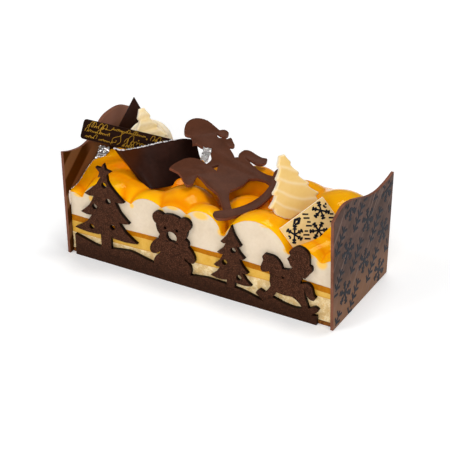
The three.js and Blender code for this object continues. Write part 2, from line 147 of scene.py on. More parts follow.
def newMaterial(name, look):
    # look holds two tones and their blotches, a grain, and the shader's even values
    material = bpy.data.materials.new(name)
    material.use_nodes = True
    tree = material.node_tree
    shader = tree.nodes["Principled BSDF"]
    even = {"Roughness": look["rough"], "Specular IOR Level": look.get("shine", 0.5),
            "Metallic": look.get("metal", 0.0), **look.get("more", {})}
    for key, value in even.items():
        shader.inputs[key].default_value = value
    inputs = {"Scale": look["blotch"], "Contrast": look.get("contrast", 1.0)}
    mask = addNode(tree, "ShaderNodeGroup", inputs, node_tree=mottleGroup).outputs["Mask"]
    color = blend(tree, mask, look["dark"], look["light"])
    if "grain" in look:
        inputs = dict(zip(("Scale", "Strength", "Depth"), look["grain"]))
        grain = addNode(tree, "ShaderNodeGroup", inputs, node_tree=grainGroup)
        tree.links.new(grain.outputs["Normal"], shader.inputs["Normal"])
    recolor(tree, shader, color)
    return material, tree, shader, color


def bakedMesh(shape, name):
    mesh = bpy.data.meshes.new(name)
    shape.to_mesh(mesh)
    shape.free()
    return mesh


def finishPiece(shape, name, materials, replaced=(), sharpAngle=60):
    mesh = bakedMesh(shape, name)
    for material in materials:
        mesh.materials.append(material)
    for polygon in mesh.polygons:
        polygon.use_smooth = len(polygon.vertices) < 5    # large faces with many corners stay flat
    mesh.set_sharp_from_angle(angle=math.radians(sharpAngle))
    piece = bpy.data.objects.new(name, mesh)
    scene.collection.objects.link(piece)
    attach(piece, "root")
    if replaced:
        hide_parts(*replaced)


def solidCopy(nodeName):
    # the solid with its doubles merged and its flat faces whole again
    shape = bmesh.new()
    shape.from_mesh(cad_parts[nodeName].data)
    shape.transform(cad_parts[nodeName].matrix_world)
    bmesh.ops.remove_doubles(shape, verts=shape.verts, dist=0.004 * mm)
    bmesh.ops.dissolve_limit(shape, angle_limit=math.radians(1.2), verts=shape.verts, edges=shape.edges)
    return shape


def softenEdges(shape, width, steps=2, least=38):
    sharp = [edge for edge in shape.edges
             if edge.is_manifold and edge.calc_face_angle(0) > math.radians(least)]
    bmesh.ops.bevel(shape, geom=sharp, offset=width * mm, offset_type="OFFSET", segments=steps, profile=0.5,
                    affect="EDGES", clamp_overlap=True, material=-1)


def evaluatedShape(helper):
    # what its modifiers or its bevel make of a helper object, which is then taken away
    scene.collection.objects.link(helper)
    mesh = bpy.data.meshes.new_from_object(helper.evaluated_get(bpy.context.evaluated_depsgraph_get()))
    bpy.data.objects.remove(helper)
    shape = bmesh.new()
    shape.from_mesh(mesh)
    bpy.data.meshes.remove(mesh)
    return shape


def remeshed(shape, cell):
    # an even skin of small faces over a closed form, for relief
    mesh = bakedMesh(shape, "relief")
    helper = bpy.data.objects.new("relief", mesh)
    grid = helper.modifiers.new("skin", "REMESH")
    grid.mode = "VOXEL"
    grid.voxel_size = cell * mm
    result = evaluatedShape(helper)
    bpy.data.meshes.remove(mesh)
    return result


def turnOutwards(shape):
    # a thin shell can come out of the operator inside out, which its volume tells
    bmesh.ops.recalc_face_normals(shape, faces=shape.faces)
    if shape.calc_volume(signed=True) < 0:
        bmesh.ops.reverse_faces(shape, faces=shape.faces)
    shape.normal_update()


def smoothCurve(points, count):
    # Catmull-Rom through the points, count places evenly along it
    padded = [2 * points[0] - points[1], *points, 2 * points[-1] - points[-2]]
    places = []
    for i in range(count):
        along = i / (count - 1) * (len(points) - 1)
        k = min(int(along), len(points) - 2)
        t = along - k
        a, b, c, d = padded[k:k + 4]
        places.append(0.5 * (2 * b + (c - a) * t + (2 * a - 5 * b + 4 * c - d) * t * t
                             + (3 * b - a - 3 * c + d) * t ** 3))
    return places


def frameOf(origin, across, facing):
    # a plate's own frame: its right, its up and the way it faces
    normal = Vector(facing).normalized()
    right = (Vector(across) - normal * normal.dot(Vector(across))).normalized()
    turn = Matrix((right, normal.cross(right), normal)).transposed().to_4x4()
    return Matrix.Translation(Vector(origin) * mm) @ turn


cake = dict(left=-126.7, right=125.2, half=48.6, stations=(-126.7, -62, 0, 58, 125.2))
# upper lines of the soft layers at the stations along the log, and how far they waver
layerTops = dict(floor=(0,) * 5, biscuit=(4,) * 5, sponge=(20, 21, 23.7, 26, 25.7),
                 yellow=(31.2, 32.6, 34.6, 33.5, 30.4), amber=(37.3, 37.1, 39.2, 38.8, 36))
waver = dict(slow=0.25, slowOften=0.09, quick=0.2, quickOften=0.35, throughCake=0.6)

# piped domes of the top: x, y, radius and height of the crown
domes = [
    (-124, -44, 12, 58.5), (-90, -38, 27, 74.5), (-47, -40, 21.3, 72.1), (-21, -42, 18.2, 71.2),
    (5.5, -42, 19.2, 73.5), (56, -38, 31.4, 78.3), (101.5, -41, 16, 63.3), (127, -40, 14, 62.3),
    (-112, 12, 83, 76.5), (-91, -24, 28, 75.5), (-96, -8, 34, 77),
    (-70, -32, 20, 71.5), (-21.5, -27, 29.5, 77.2), (28, -10, 28, 72.4),
    (76, -8, 24, 77), (112, -8, 24, 76), (109, -28, 16.5, 65.7), (-85, 28, 26, 77.5), (-50, 2, 24, 70.5),
    (-33, 26, 24, 70), (16, 26, 24, 82), (60, 27, 26, 78.5), (97, 25, 33, 79), (-112, 40, 20, 68),
    (-62, 42, 19, 70), (-20, 43, 18, 69), (34, 43, 20, 71), (76, 42, 19, 69), (113, 43, 18, 67),
]
piping = dict(floor=55, middle=60, outerSlope=2, crease=0.9, glazeCrease=0.38, creaseWidth=7, glaze=2.1,
              rim=0.8, film=1.6, filmReach=4.0, wobble=0.35, wobbleOften=0.06)


def domeHeights(x, y):
    slope = piping["outerSlope"]
    for cx, cy, radius, crown in domes:
        away = math.hypot(x - cx, y - cy)
        rise = math.sqrt(radius * radius - away * away) if away < radius else slope * (radius - away)
        yield crown - radius + rise


def blendedHeight(x, y, crease):
    # a soft maximum of the domes and the floor between them; a higher crease is a sharper one
    total = math.exp(crease * (piping["floor"] - piping["middle"]))
    for height in domeHeights(x, y):
        total += math.exp(crease * (height - piping["middle"]))
    return piping["middle"] + math.log(total) / crease


def mousseHeight(x, y):
    # the mousse swells up under the thin film of glaze at the cut faces
    near = min(1.0, max(0.0, 1 - (cake["half"] - abs(y)) / piping["filmReach"]))
    return blendedHeight(x, y, piping["crease"]) + piping["film"] * near * near * (3 - 2 * near)


def glazeHeight(x, y):
    # the glaze fills the creases, runs a little uneven and thins out at the cut edges
    wobble = piping["wobble"] * noise.noise(Vector((x, y, 3)) * piping["wobbleOften"])
    edge = max(0.0, piping["rim"] - (cake["half"] - abs(y))) / piping["rim"]
    rounding = piping["rim"] * (1 - math.sqrt(max(0.0, 1 - edge * edge)))
    return blendedHeight(x, y, piping["glazeCrease"]) + piping["glaze"] + wobble - rounding


def creaseDepth(x, y):
    first, second = sorted(domeHeights(x, y), reverse=True)[:2]
    return max(0.0, 1 - (first - second) / piping["creaseWidth"])


# painted shade and painted reflection of the dark decorations on the glaze under and around them, as deeper
# orange: x, y, reach
shadedSpots = [(-90, -12, 20), (-62, -18, 20), (-42, -6, 18), (0, -6, 22), (26, 4, 24), (40, -14, 18),
         (64, -10, 16)]
# ranges are low, high and the share at each end
glaze = dict(
    look=dict(dark=(0.76, 0.24, 0.001), light=(0.95, 0.41, 0.001), blotch=16.0, contrast=0.8,
              rough=0.08, shine=0.15,
              more={"Specular Tint": (1.0, 0.72, 0.16, 1), "Subsurface Weight": 0.15,
                    "Subsurface Scale": 0.004, "Subsurface Radius": (1.0, 0.3, 0.03)}),
    deep=(0.74, 0.16, 0.0005), thin=(0.96, 0.47, 0.003), paleRight=(30, 100, 0.0, 0.6),
    deepLow=(58, 76, 0.35, 0.0), creaseShare=0.6, decorShadeShare=1.1, poolingAndShade=0.75, thinReach=15,
    thinPower=1.3, gap=0.05, columns=330, rows=130, crowd=1.25,
)


# deeper colour in the creases, partly thicker glaze and partly painted shade, and painted shade near the
# decorations
def creaseAndShadeDepth(x, y):
    shade = max(max(0.0, 1 - math.hypot(x - px, y - py) / reach) for px, py, reach in shadedSpots)
    return min(1.0, glaze["creaseShare"] * creaseDepth(x, y) ** 2 + glaze["decorShadeShare"] * shade)


def edgeThinness(x, y):
    near = max(0.0, 1 - (cake["half"] - abs(y)) / glaze["thinReach"])
    return near ** glaze["thinPower"] * (1 - creaseDepth(x, y))


def fieldGrid(columns, rows, height, crowd):
    # a grid over the cake's footprint, with rows closer together towards the cut faces
    shape = bmesh.new()
    bmesh.ops.create_grid(shape, x_segments=columns, y_segments=rows, size=0.5)
    for vert in shape.verts:
        x = cake["left"] + (vert.co.x + 0.5) * (cake["right"] - cake["left"])
        side = 2 * vert.co.y
        y = math.copysign(1 - (1 - abs(side)) ** crowd, side) * cake["half"]
        vert.co = Vector((x, y, height(x, y))) * mm
    return shape


def glazeMaterial():
    # yellow where it is thin at the cut faces and paler towards the right; deep orange where it pools in the
    # creases, which is partly painted shade, where painted shade and painted reflection of the dark
    # decorations lie, and low down
    material, tree, shader, color = newMaterial("MirrorGlaze", glaze["look"])
    axes = axesOf(tree)
    paleShare = calc(tree, "MAXIMUM", attributeOf(tree, "thinness"), ramp(tree, axes["X"], *glaze["paleRight"]))
    color = blend(tree, paleShare, color, glaze["thin"])
    low = ramp(tree, axes["Z"], *glaze["deepLow"])
    pooledAndShaded = calc(tree, "MULTIPLY_ADD", attributeOf(tree, "poolingAndShade"), glaze["poolingAndShade"], low)
    recolor(tree, shader, blend(tree, calc(tree, "MINIMUM", pooledAndShaded, 1.0), color, glaze["deep"]))
    return material


def buildGlaze():
    shape = fieldGrid(glaze["columns"], glaze["rows"], lambda x, y: mousseHeight(x, y) + glaze["gap"],
                      glaze["crowd"])
    poolingAndShade = shape.verts.layers.float.new("poolingAndShade")
    thinness = shape.verts.layers.float.new("thinness")
    made = bmesh.ops.extrude_face_region(shape, geom=shape.faces[:], use_keep_orig=True)
    top = [item for item in made["geom"] if isinstance(item, bmesh.types.BMVert)]
    for vert in top:
        x, y = vert.co.x / mm, vert.co.y / mm
        vert.co.z = glazeHeight(x, y) * mm
        vert[poolingAndShade] = creaseAndShadeDepth(x, y)
        vert[thinness] = edgeThinness(x, y)
    turnOutwards(shape)
    finishPiece(shape, "Glaze", [glazeMaterial()], ("glaze",), 50)


levelLines = {name: smoothCurve([Vector((x, z, 0)) for x, z in zip(cake["stations"], tops)], 241)
              for name, tops in layerTops.items()}


def layerLine(name, x, y):
    # the wavy line where one layer rests on the next
    line = levelLines[name]
    k = min(max(bisect.bisect_left(line, x, key=lambda point: point.x), 1), len(line) - 1)
    share = (x - line[k - 1].x) / (line[k].x - line[k - 1].x)
    level = line[k - 1].y + share * (line[k].y - line[k - 1].y)
    if name in ("floor", "biscuit"):
        return level
    slow = noise.noise(Vector((x, y * waver["throughCake"], level)) * waver["slowOften"])
    quick = noise.noise(Vector((x, y, level)) * waver["quickOften"])
    return level + waver["slow"] * slow + waver["quick"] * quick


pitting = dict(overFoot=0.3, underRoof=0.1, offFace=0.01, bias=0.15)


def pitSides(shape, depth, often, foot, roof=None):
    # crumb and cut marks pressed into the upright faces only, between two layer lines
    for vert in shape.verts:
        x, y, z = vert.co / mm
        low = layerLine(foot, x, y) + pitting["overFoot"]
        high = layerLine(roof, x, y) - pitting["underRoof"] if roof else math.inf
        if low < z < high and abs(abs(y) - cake["half"]) < pitting["offFace"]:
            dent = max(0.0, noise.noise(Vector((x, y, z)) * often) + pitting["bias"])
            vert.co.y -= math.copysign(dent * depth * mm, y)


# pits are their depth and how often they come; a crumb holds specks, a seam soaks into the layer below
softLayers = {
    "Biscuit": dict(
        node="biscuit_base", slot="biscuit", foot="floor", roof="biscuit", columns=210, cuts=3,
        pits=(0.8, 0.5), finish="BakedBiscuit", crumb=dict(tone=(0.50, 0.20, 0.03), often=520.0, amount=0.6),
        look=dict(dark=(0.075, 0.022, 0.003), light=(0.26, 0.085, 0.010), blotch=260.0, contrast=1.6,
                  grain=(700.0, 0.9, 0.0006), rough=0.8, shine=0.2)),
    "Sponge": dict(
        node="sponge", slot="sponge", foot="biscuit", roof="sponge", columns=230, cuts=16,
        pits=(0.7, 0.42), finish="SpongeCrumb", crumb=dict(tone=(0.78, 0.42, 0.10), often=300.0, amount=0.5),
        look=dict(dark=(0.67, 0.45, 0.19), light=(0.90, 0.72, 0.42), blotch=170.0, contrast=1.4,
                  grain=(620.0, 0.8, 0.0006), rough=0.9, shine=0.1)),
    "YellowCream": dict(
        node="yellow_cream", slot="yellow_cream", foot="sponge", roof="yellow", columns=200, cuts=5,
        pits=(0.25, 0.3), finish="YellowCream",
        seam=dict(tone=(0.62, 0.30, 0.04), fade=(0.3, 1.4, 0.85, 0.0)),
        look=dict(dark=(0.67, 0.355, 0.038), light=(0.76, 0.46, 0.088), blotch=110.0, contrast=0.9,
                  grain=(500.0, 0.3, 0.0003), rough=0.55, shine=0.15)),
    "AmberJelly": dict(
        node="amber_jelly", slot="amber_jelly", foot="yellow", roof="amber", columns=200, cuts=4,
        pits=(0.35, 0.25), finish="AmberJelly",
        look=dict(dark=(0.34, 0.105, 0.001), light=(0.52, 0.175, 0.001), blotch=90.0, contrast=0.9,
                  grain=(300.0, 0.2, 0.0003), rough=0.4, shine=0.06)),
}


def layerMaterial(layer):
    material, tree, shader, color = newMaterial(layer["finish"], layer["look"])
    if "crumb" in layer:
        crumb = layer["crumb"]
        cells = addNode(tree, "ShaderNodeTexVoronoi", {"Vector": placeOf(tree), "Scale": crumb["often"]})
        specks = ramp(tree, cells.outputs["Distance"], 0.12, 0.34, crumb["amount"], 0.0)
        recolor(tree, shader, blend(tree, specks, color, crumb["tone"]))
    if "seam" in layer:
        soaked = ramp(tree, attributeOf(tree, "aboveFoot"), *layer["seam"]["fade"])
        recolor(tree, shader, blend(tree, soaked, color, layer["seam"]["tone"]))
    return material


def buildLayer(title):
    # a block cut finely, whose upper and lower faces then follow the layer lines
    layer = softLayers[title]
    shape = bmesh.new()
    aboveFoot = shape.verts.layers.float.new("aboveFoot")
    bmesh.ops.create_cube(shape, size=1)
    span = cake["right"] - cake["left"]
    for vert in shape.verts:
        x, y, z = vert.co
        vert.co = Vector((cake["left"] + (x + 0.5) * span, y * 2 * cake["half"], z + 0.5))
    lengthways = [edge for edge in shape.edges if abs((edge.verts[0].co - edge.verts[1].co).x) > 1]
    bmesh.ops.subdivide_edges(shape, edges=lengthways, cuts=layer["columns"], use_grid_fill=True)
    upright = [edge for edge in shape.edges if abs((edge.verts[0].co - edge.verts[1].co).z) > 0.5]
    bmesh.ops.subdivide_edges(shape, edges=upright, cuts=layer["cuts"], use_grid_fill=True)
    for vert in shape.verts:
        x, y, share = vert.co
        lowLine = layerLine(layer["foot"], x, y)
        tall = (layerLine(layer["roof"], x, y) - lowLine) * share
        vert[aboveFoot] = tall
        vert.co = Vector((x, y, lowLine + tall)) * mm
    pitSides(shape, *layer["pits"], layer["foot"], layer["roof"])
    finishPiece(shape, title, [layerMaterial(layer)], (layer["node"],))


mousse = dict(
    look=dict(dark=(0.66, 0.53, 0.38), light=(0.74, 0.615, 0.465), blotch=70.0, contrast=0.7,
              grain=(420.0, 0.22, 0.0003), rough=0.6, shine=0.3, more=softLight),
    # glaze smeared over the cut and run down from the creases: x, z, half width, half height
    smears=[(4.3, 70.0, 8.5, 4.4), (-23, 70.4, 7, 2.6), (-118, 57.6, 6, 2.0), (64, 75.5, 5, 0.8),
            (-63.2, 61.8, 2.4, 3.0), (-34, 64, 3.4, 4.0), (-8, 65, 4.2, 3.6), (23.9, 60, 4.0, 4.6),
            (85.6, 59.4, 5.0, 3.4), (115.8, 56.4, 5.6, 6.2), (103, 60, 6.0, 2.6), (-105, 58, 3.2, 3.2)],
    smearTone=(0.93, 0.53, 0.045), smearFade=(0.5, 1.15, 0.85, 0.0),
    columns=300, rows=96, crowd=1.1, cutFaceLeast=12, cuts=14, pits=(0.22, 0.16),
)


def mousseMaterial():
    material, tree, shader, color = newMaterial("IvoryMousse", mousse["look"])
    axes = axesOf(tree)
    for x, z, wide, high in mousse["smears"]:
        across = calc(tree, "DIVIDE", calc(tree, "SUBTRACT", axes["X"], x), wide)
        up = calc(tree, "DIVIDE", calc(tree, "SUBTRACT", axes["Z"], z), high)
        away = calc(tree, "SQRT", calc(tree, "MULTIPLY_ADD", up, up, calc(tree, "MULTIPLY", across, across)))
        color = blend(tree, ramp(tree, away, *mousse["smearFade"]), color, mousse["smearTone"])
    recolor(tree, shader, color)
    return material


def buildMousse():
    shape = fieldGrid(mousse["columns"], mousse["rows"], mousseHeight, mousse["crowd"])
    rim = [edge for edge in shape.edges if edge.is_boundary]
    made = bmesh.ops.extrude_edge_only(shape, edges=rim)["geom"]
    foot = [item for item in made if isinstance(item, bmesh.types.BMVert)]
    for vert in foot:
        vert.co.z = layerLine("amber", vert.co.x / mm, vert.co.y / mm) * mm
    footEdges = [item for item in made if isinstance(item, bmesh.types.BMEdge) and item.is_boundary]
    bmesh.ops.edgeloop_fill(shape, edges=footEdges)
    upright = [edge for edge in shape.edges
               if abs((edge.verts[0].co - edge.verts[1].co).z) > mousse["cutFaceLeast"] * mm]
    bmesh.ops.subdivide_edges(shape, edges=upright, cuts=mousse["cuts"], use_grid_fill=True)
    pitSides(shape, *mousse["pits"], "amber")
    turnOutwards(shape)
    finishPiece(shape, "Mousse", [mousseMaterial()], ("mousse",), 50)


smear = dict(
    look=dict(dark=(0.74, 0.62, 0.50), light=(0.86, 0.76, 0.66), blotch=120.0,
              rough=0.5, shine=0.3),
    centre=(-127.1, -48.9, 54), half=(0.55, 1.3, 6.5), lumps=0.35, lumpsOften=1.7,
)


def buildSmear():
    # mousse pressed out between the front cut and the left panel
    shape = bmesh.new()
    bmesh.ops.create_icosphere(shape, subdivisions=4, radius=1)
    for vert in shape.verts:
        lumpy = vert.co * (1 + smear["lumps"] * noise.noise(vert.co * smear["lumpsOften"]))
        vert.co = Vector([c + h * p for c, h, p in zip(smear["centre"], smear["half"], lumpy)]) * mm
    finishPiece(shape, "MousseSmear", [newMaterial("MousseSmear", smear["look"])[0]])


buildGlaze()
buildMousse()
buildSmear()
for layerTitle in softLayers:
    buildLayer(layerTitle)
print("cake layers, mousse and glaze done")


panel = dict(
    outer=dict(dark=(0.063, 0.035, 0.026), light=(0.112, 0.063, 0.049), blotch=45.0, contrast=1.1,
               grain=(500.0, 0.12, 0.0002), rough=0.40, shine=0.03),
    inner=dict(dark=(0.045, 0.012, 0.001), light=(0.060, 0.017, 0.002), blotch=14.0, contrast=0.6,
               rough=0.4, shine=0.02),
    # a lighter, redder rim: a painted highlight on the panels' edges
    edge=dict(dark=(0.14, 0.050, 0.028), light=(0.21, 0.080, 0.048), blotch=90.0,
              rough=0.5, shine=0.1),
    half=53.3, outside=130.0, thick=2.8, columns=72, rows=40, edgeWidth=0.5, printSlope=52,
    leanHeight=97, crestSpots=(-53.3, -38, -23, -7, 8, 24, 40, 53.3),
)
# crest heights from front to back as seen from outside, and how far the two upright edges lean
panels = {
    "panel_left": dict(title="PanelLeft", printTitle="PrintLeft", side=-1, lean=(-0.87, -0.87),
                       crest=(100, 107.4, 109.3, 106.8, 96.5, 92.6, 94.6, 98.8)),
    "panel_right": dict(title="PanelRight", printTitle="PrintRight", side=1, lean=(-3.0, 1.0),
                        crest=(98.3, 105.5, 104.5, 99.5, 94.8, 92.6, 94, 97)),
}
# painted reflections as slanting bands inside, and a painted lighter patch on the hump below the crest
reflectionBands = dict(slant=0.755, often=0.209, start=1.2, drift=12.0, fade=(-0.25, 0.45),
             tone=(0.165, 0.070, 0.026), calm=(-22, -8), hump=(88, 98), humpLightTone=(0.24, 0.105, 0.066))
# marks of the film outside, as how often they come across and along, and the paler foot
film = dict(across=0.3, along=0.016, fade=(0.52, 0.70, 0.0, 0.55), tone=(0.22, 0.145, 0.12),
            paleFoot=(8, 50, 0.75, 0.0), paleFootTone=(0.26, 0.125, 0.062))


def innerPanelMaterial():
    # painted reflections: slanting bands of lighter and darker brown, and painted light on the hump
    material, tree, shader, color = newMaterial("PanelInside", panel["inner"])
    axes = axesOf(tree)
    slant = calc(tree, "SUBTRACT", axes["Z"], calc(tree, "MULTIPLY", axes["Y"], reflectionBands["slant"]))
    drift = noiseOf(tree, {"Vector": placeOf(tree), "Scale": reflectionBands["drift"], "Detail": 1.0})
    turn = calc(tree, "ADD", calc(tree, "MULTIPLY_ADD", slant, reflectionBands["often"], reflectionBands["start"]), drift)
    calm = ramp(tree, axes["Y"], *reflectionBands["calm"])
    reflectionMask = calc(tree, "MAXIMUM", ramp(tree, calc(tree, "SINE", turn), *reflectionBands["fade"]), calm)
    reflectedBands = blend(tree, reflectionMask, color, reflectionBands["tone"])
    hump = calc(tree, "MULTIPLY", ramp(tree, axes["Z"], *reflectionBands["hump"]), calm)
    recolor(tree, shader, blend(tree, hump, reflectedBands, reflectionBands["humpLightTone"]))
    return material


def outerPanelMaterial():
    # paler and warmer towards the foot, with fine slanting marks of the film it was cast on
    material, tree, shader, color = newMaterial("PanelOutside", panel["outer"])
    axes = axesOf(tree)
    slope = math.radians(panel["printSlope"])
    parts = []
    for y, z, often in ((-math.sin(slope), math.cos(slope), film["across"]),
                        (math.cos(slope), math.sin(slope), film["along"])):
        rise = calc(tree, "MULTIPLY", axes["Z"], z * often)
        parts.append(calc(tree, "MULTIPLY_ADD", axes["Y"], y * often, rise))
    marks = addNode(tree, "ShaderNodeCombineXYZ", {0: parts[0], 1: parts[1]}).outputs[0]
    streaks = noiseOf(tree, {"Vector": marks, "Scale": 1.0, "Detail": 2.0})
    low = blend(tree, ramp(tree, axes["Z"], *film["paleFoot"]), color, film["paleFootTone"])
    recolor(tree, shader, blend(tree, ramp(tree, streaks, *film["fade"]), low, film["tone"]))
    return material


def panelCrest(name):
    points = [Vector((u, h, 0)) for u, h in zip(panel["crestSpots"], panels[name]["crest"])]
    return smoothCurve(points, panel["columns"] + 1)


def panelPlace(name, across, up, inwards=0.0):
    # from the sheet's own across and up to the cake's frame, with its lean
    side, lean = panels[name]["side"], panels[name]["lean"]
    y = across * side
    share = (y / panel["half"] + 1) / 2
    shift = (lean[0] * (1 - share) + lean[1] * share) * up / panel["leanHeight"]
    return Vector((side * (panel["outside"] - inwards) + shift, y, up)) * mm


def buildPanels():
    outer = outerPanelMaterial()
    inner = innerPanelMaterial()
    edge = newMaterial("PanelEdgeHighlight", panel["edge"])[0]
    for name, sheetOf in panels.items():
        crest = panelCrest(name)
        shape = bmesh.new()
        bmesh.ops.create_grid(shape, x_segments=panel["columns"], y_segments=panel["rows"], size=0.5)
        for vert in shape.verts:
            column = round((vert.co.x + 0.5) * panel["columns"])
            share = vert.co.y + 0.5
            vert.co = Vector((crest[column].x, share * crest[column].y, 0))
        made = bmesh.ops.extrude_face_region(shape, geom=shape.faces[:], use_keep_orig=True)
        lifted = {item for item in made["geom"] if isinstance(item, bmesh.types.BMVert)}
        for vert in shape.verts:
            vert.co = panelPlace(name, vert.co.x, vert.co.y, panel["thick"] if vert in lifted else 0.0)
        turnOutwards(shape)
        for face in shape.faces:
            facing = face.normal.x * sheetOf["side"]
            face.material_index = 0 if facing > 0.9 else 1 if facing < -0.9 else 2
        softenEdges(shape, panel["edgeWidth"])
        finishPiece(shape, sheetOf["title"], [outer, inner, edge], (name,), 30)


# broad is the axis that the broad faces look along, and how straight
frieze = dict(
    node="frieze", slot="frieze_chocolate", edgeWidth=0.28, steps=1, broad=(1, 0.5),
    face=dict(dark=(0.027, 0.009, 0.0035), light=(0.054, 0.018, 0.008), blotch=300.0, contrast=1.2,
              grain=(1500.0, 0.5, 0.0003), rough=0.5, shine=0.05),
    # near-black side faces: painted shade on the frieze's edges
    edge=dict(dark=(0.006, 0.002, 0.001), light=(0.012, 0.004, 0.002), blotch=120.0,
              rough=0.4, shine=0.07),
    dustOften=1000.0, dust=(0.10, 0.38, 0.85, 0.0), dustTone=(0.20, 0.078, 0.040),
    foot=(4, 22, 0.6, 0.0), footTone=(0.022, 0.0075, 0.003),
)
horse = dict(
    node="rocking_horse", slot="milk_chocolate", edgeWidth=0.5, steps=2, broad=(2, 0.8),
    face=dict(dark=(0.064, 0.021, 0.010), light=(0.090, 0.030, 0.015), blotch=90.0, contrast=0.8,
              grain=(900.0, 0.10, 0.0002), rough=0.42, shine=0.05),
    # lighter, redder side faces: a painted highlight on the horse's edges
    edge=dict(dark=(0.14, 0.048, 0.026), light=(0.19, 0.068, 0.038), blotch=90.0,
              rough=0.45, shine=0.1),
)


def buildPlate(title, plate, face, edge=None):
    # the solid's own form with softened edges, and its rim in another material where it has one, which is
    # painted shade on the frieze and a painted highlight on the horse
    shape = solidCopy(plate["node"])
    if edge:
        axis, least = plate["broad"]
        for side in shape.faces:
            side.material_index = 0 if abs(side.normal[axis]) > least else 1
    softenEdges(shape, plate["edgeWidth"], plate["steps"])
    finishPiece(shape, title, [face, edge] if edge else [face], (plate["node"],), 30)


def buildFrieze():
    face, tree, shader, color = newMaterial("FriezeFace", frieze["face"])
    # cocoa dust in the figures' grain, and a darker strip towards the foot
    cells = addNode(tree, "ShaderNodeTexVoronoi", {"Vector": placeOf(tree), "Scale": frieze["dustOften"]})
    dusty = blend(tree, ramp(tree, cells.outputs["Distance"], *frieze["dust"]), color, frieze["dustTone"])
    foot = ramp(tree, axesOf(tree)["Z"], *frieze["foot"])
    recolor(tree, shader, blend(tree, foot, dusty, frieze["footTone"]))
    buildPlate("Frieze", frieze, face, newMaterial("FriezeEdgeShade", frieze["edge"])[0])


buildPanels()
buildFrieze()
buildPlate("RockingHorse", horse, newMaterial("HorseFace", horse["face"])[0],
           newMaterial("HorseEdgeHighlight", horse["edge"])[0])
print("panels, frieze and rocking horse done")


darkLook = dict(dark=(0.016, 0.0052, 0.0030), light=(0.032, 0.0120, 0.0080), blotch=40.0, contrast=0.8,
                rough=0.30, shine=0.10)
shard = dict(node="dark_shard", slot="dark_chocolate", edgeWidth=0.3, steps=2)

# the flourishes' places on the bar, from its lower left corner
bar = dict(
    node="printed_bar", slot="dark_chocolate", edgeWidth=0.4, steps=2,
    look=dict(dark=(0.010, 0.0035, 0.0020), light=(0.020, 0.0075, 0.0045), blotch=60.0, contrast=0.8,
              rough=0.36, shine=0.06),
    origin=(-129.9, -25.9, 100.1), across=(0.8636, 0.4443, -0.2378), facing=(0.504, -0.774, 0.383),
    gold=dict(dark=(0.378, 0.196, 0.0035), light=(0.54, 0.28, 0.005), blotch=300.0,
              rough=0.45, metal=0.2),
    strokeWidth=0.18, lift=0.02, firstSeed=3,
    # start, end, base and size
    scribbles=[(4, 19, 11.6, 2.7), (25, 55, 13.2, 1.9), (60, 86, 12.0, 2.5), (3, 24, 7.2, 2.1),
               (4, 13, 2.2, 2.1), (16, 25, 1.9, 1.9), (38, 58, 5.4, 3.8), (65, 84, 5.4, 2.8),
               (37, 49, 1.4, 2.0), (67, 80, 1.5, 1.7)],
    # middle, length, height and turn
    swashes=[(21, 12.6, 13, 3.2, 0.5), (31, 8.4, 14, 4.0, 1.15), (34.5, 7.6, 12, -2.6, 1.2),
             (61, 8.0, 15, 3.8, 1.1), (54, 2.8, 10, 2.4, 0.4), (29, 3.2, 6, 2.4, 0.9)],
    rings=[(56.5, 12.4, 0.5), (24, 9.4, 0.4), (50, 9.6, 0.35), (87, 8.0, 0.5)],
)
pen = dict(flatness=0.35, pitch=0.72, heights=(0.5, 0.6, 0.7, 1.0, 1.9), tallLoop=0.55, lowLoop=0.2,
           slant=0.3, steps=12)


def strokeMesh(paths, width, place):
    # flat pen strokes laid on a face, made from bevelled curves
    curve = bpy.data.curves.new("strokes", "CURVE")
    curve.dimensions = "3D"
    curve.bevel_depth = width * mm
    curve.bevel_resolution = 1
    for path in paths:
        line = curve.splines.new("POLY")
        line.points.add(len(path) - 1)
        for point, (x, y) in zip(line.points, path):
            point.co = (x * mm, y * mm, 0, 1)
    shape = evaluatedShape(bpy.data.objects.new("strokes", curve))
    bpy.data.curves.remove(curve)
    bmesh.ops.holes_fill(shape, edges=[edge for edge in shape.edges if edge.is_boundary], sides=0)
    bmesh.ops.scale(shape, vec=(1, 1, pen["flatness"]), verts=shape.verts)
    shape.transform(place)
    return shape


def turned(x, y, u, v, turn):
    # u along and v across from x, y, in a frame turned by the angle
    return x + u * math.cos(turn) - v * math.sin(turn), y + u * math.sin(turn) + v * math.cos(turn)


def scribble(startX, endX, baseY, size, seed):
    # one running line of low waves and now and then a tall loop
    pick = random.Random(seed)
    path = []
    pitch = size * pen["pitch"]
    for wave in range(max(2, round((endX - startX) / pitch))):
        tall = size * pick.choice(pen["heights"])
        loop = pen["tallLoop"] if tall > size else pen["lowLoop"]
        for i in range(pen["steps"]):
            t = i / pen["steps"]
            x = startX + pitch * (wave + t) - loop * pitch * math.sin(2 * math.pi * t)
            y = tall * 0.5 * (1 - math.cos(2 * math.pi * t))
            path.append((x + pen["slant"] * y, baseY + y))
    return path


def swash(x, y, long, tall, turn, steps=18):
    # a single open S stroke
    shares = [i / steps for i in range(steps + 1)]
    return [turned(x, y, long * (t - 0.5), tall * math.sin(2 * math.pi * t) * 0.5, turn) for t in shares]


def ring(x, y, radius, steps=10):
    return [turned(x, y, radius, 0, i / steps * 2 * math.pi) for i in range(steps + 1)]


def buildFlourishes():
    paths = [scribble(*line, seed) for seed, line in enumerate(bar["scribbles"], bar["firstSeed"])]
    paths += [swash(*stroke) for stroke in bar["swashes"]]
    paths += [ring(*dot) for dot in bar["rings"]]
    lift = Matrix.Translation((0, 0, bar["lift"] * mm))
    place = frameOf(bar["origin"], bar["across"], bar["facing"]) @ lift
    strokes = strokeMesh(paths, bar["strokeWidth"], place)
    finishPiece(strokes, "GoldFlourishes", [newMaterial("GoldPrint", bar["gold"])[0]])


